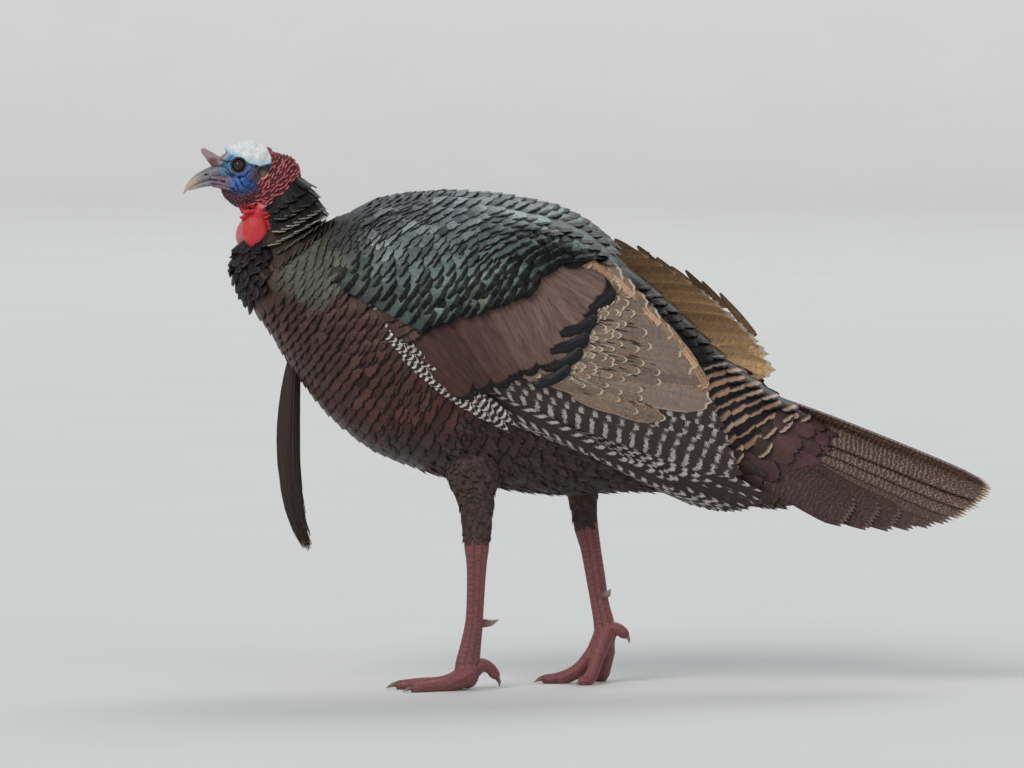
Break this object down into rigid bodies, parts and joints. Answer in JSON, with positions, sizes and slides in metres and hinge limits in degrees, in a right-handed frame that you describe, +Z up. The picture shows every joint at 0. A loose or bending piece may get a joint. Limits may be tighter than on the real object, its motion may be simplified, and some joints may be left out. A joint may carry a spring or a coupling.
{
  "type": "wild turkey",
  "caption": "Life-size still model of an adult male wild turkey standing in mid-stride, wings and tail folded, with a bare wattled head and a long breast beard.",
  "frame": {"origin": "middle of the bounding box, on the floor that the soles stand on", "axes": "+X towards the tail, so the bird faces -X; +Y to the bird's right side; +Z up"},
  "size_m": [0.9308, 0.2706, 0.6267],
  "materials": {
    "body_feathers": "dark bronze-brown feathers with black edges and a silky copper to green sheen",
    "wing_feathers": "brown-grey feathers barred black and white, with cream fringes",
    "tail_feathers": "brown feathers with fine black bars, a dark band and pale buff tips",
    "head_skin": "bare warty skin, white on the crown, blue round the eye and red on the neck, softly moist",
    "wattle_skin": "swollen scarlet skin, glossy",
    "leg_skin": "dusky pink-red scutes, dull",
    "horn": "horn, smooth and slightly glossy",
    "eye": "wet, very dark brown",
    "beard_bristle": "coarse black-brown bristles"
  },
  "bodies": {
    "root": {"head": "head_skin", "neck": "body_feathers", "snood": "head_skin", "bill_upper": "horn", "bill_lower": "horn", "eye_left": "eye", "ear_left": "head_skin", "wattle_left": "wattle_skin", "eye_right": "eye", "ear_right": "head_skin", "wattle_right": "wattle_skin", "trunk": "body_feathers", "beard": "beard_bristle", "wing_left": "wing_feathers", "secondaries_left": "wing_feathers", "primaries_left": "wing_feathers", "wing_right": "wing_feathers", "secondaries_right": "wing_feathers", "primaries_right": "wing_feathers", "tail_coverts": "tail_feathers", "tail": "tail_feathers", "thigh_left": "body_feathers", "shank_left": "leg_skin", "foot_left": "leg_skin", "spur_left": "horn", "claw_left_middle": "horn", "claw_left_outer": "horn", "claw_left_inner": "horn", "claw_left_hind": "horn", "thigh_right": "body_feathers", "shank_right": "leg_skin", "foot_right": "leg_skin", "spur_right": "horn", "claw_right_middle": "horn", "claw_right_inner": "horn", "claw_right_outer": "horn", "claw_right_hind": "horn"}
  },
  "joints": []
}
